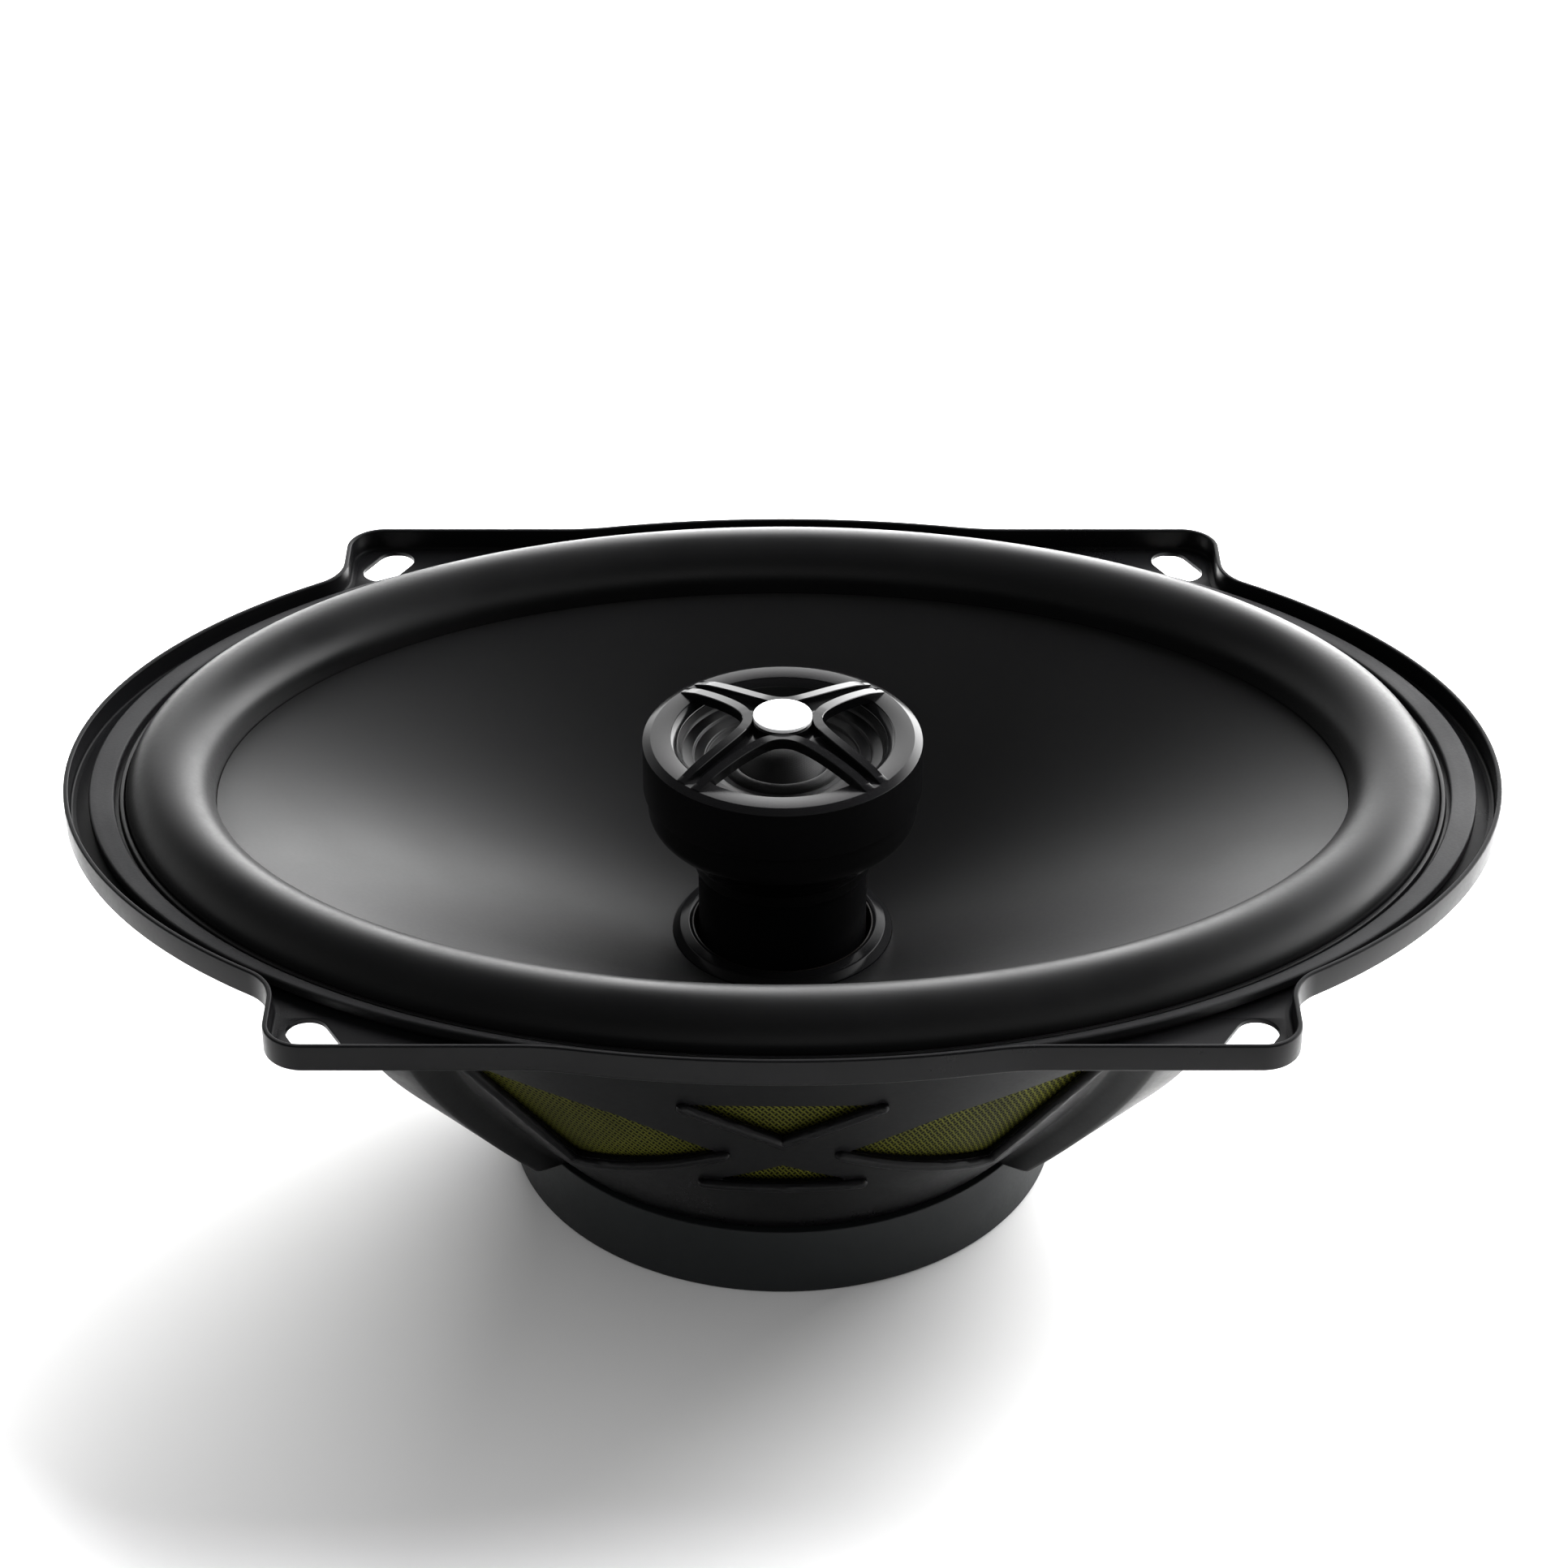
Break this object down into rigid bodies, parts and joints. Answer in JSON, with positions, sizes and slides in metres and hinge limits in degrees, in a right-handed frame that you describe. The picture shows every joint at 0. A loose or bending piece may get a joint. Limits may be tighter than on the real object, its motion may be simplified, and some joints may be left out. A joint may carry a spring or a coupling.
{
  "type": "coaxial car speaker",
  "caption": "Oval coaxial car speaker with a pressed steel basket, rubber roll surround, satin cone and a dome tweeter on a central post.",
  "frame": {"origin": "centre of the flange's rear mounting face, on the speaker's axis", "axes": "+Z towards the listener, +X along the oval's long axis, towards the terminals"},
  "size_m": [0.2044, 0.1424, 0.0722],
  "materials": {
    "painted_steel": "black powder coat, semi-gloss",
    "rivet_steel": "zinc plated",
    "gasket_foam": "dense closed foam, matte",
    "surround_rubber": "butyl rubber, satin",
    "cone_poly": "injected polypropylene, satin",
    "collar_plastic": "moulded, semi-gloss",
    "spider_cloth": "resin-stiffened cotton",
    "ring_plastic": "moulded, matte",
    "former_kapton": "amber film",
    "winding_copper": "lacquered wire",
    "motor_steel": "zinc plated",
    "ferrite": "sintered, dull",
    "cover_rubber": "moulded boot, satin",
    "post_plastic": "moulded, satin",
    "bolt_steel": "zinc plated",
    "capacitor_film": "shrink sleeve",
    "tweeter_plastic": "moulded, semi-gloss",
    "grille_plastic": "moulded, gloss",
    "badge_metal": "plain bright disc",
    "dome_silk": "doped silk",
    "magnet_neodymium": "nickel plated",
    "screen_cloth": "olive woven mesh",
    "board_phenolic": "pressed phenolic",
    "terminal_brass": "stamped",
    "terminal_tin": "tin plated",
    "tinsel_braid": "braided tinsel",
    "wire_red": "insulation",
    "wire_black": "insulation"
  },
  "bodies": {
    "frame_body": {"basket": "painted_steel", "basket_rivets": "rivet_steel", "gasket_ring": "gasket_foam", "surround": "surround_rubber", "spider": "spider_cloth", "spider_ring": "ring_plastic", "top_plate": "motor_steel", "magnet": "ferrite", "yoke": "motor_steel", "magnet_cover": "cover_rubber", "tweeter_post": "post_plastic", "post_bolt": "bolt_steel", "post_nut": "bolt_steel", "crossover_capacitor": "capacitor_film", "tweeter_housing": "tweeter_plastic", "tweeter_bezel": "tweeter_plastic", "tweeter_grille": "grille_plastic", "badge": "badge_metal", "tweeter_waveguide": "grille_plastic", "tweeter_surround": "dome_silk", "tweeter_yoke": "motor_steel", "tweeter_magnet": "magnet_neodymium", "tweeter_pole_plate": "motor_steel", "dust_screen": "screen_cloth", "terminal_board": "board_phenolic", "terminal_positive": "terminal_brass", "terminal_negative": "terminal_tin", "terminal_rivets": "rivet_steel", "tinsel_lead_positive": "tinsel_braid", "tinsel_lead_negative": "tinsel_braid", "tweeter_lead_positive": "wire_red", "tweeter_lead_negative": "wire_black"},
    "cone_body": {"cone": "cone_poly", "cone_collar": "collar_plastic", "voice_coil_former": "former_kapton", "voice_coil_winding": "winding_copper"},
    "dome_body": {"tweeter_dome": "dome_silk", "tweeter_coil_former": "former_kapton", "tweeter_coil_winding": "winding_copper"}
  },
  "joints": [
    {"name": "cone_travel", "type": "slide", "parent": "frame_body", "child": "cone_body", "axis": [0, 0, 1], "range_m": [-0.003, 0.003], "stiffness_N_per_m": 3000, "deforming": ["surround", "spider", "tinsel_lead_positive", "tinsel_lead_negative"]},
    {"name": "dome_travel", "type": "slide", "parent": "frame_body", "child": "dome_body", "axis": [0, 0, 1], "range_m": [-0.0003, 0.0003], "stiffness_N_per_m": 600, "deforming": ["tweeter_surround"]}
  ]
}
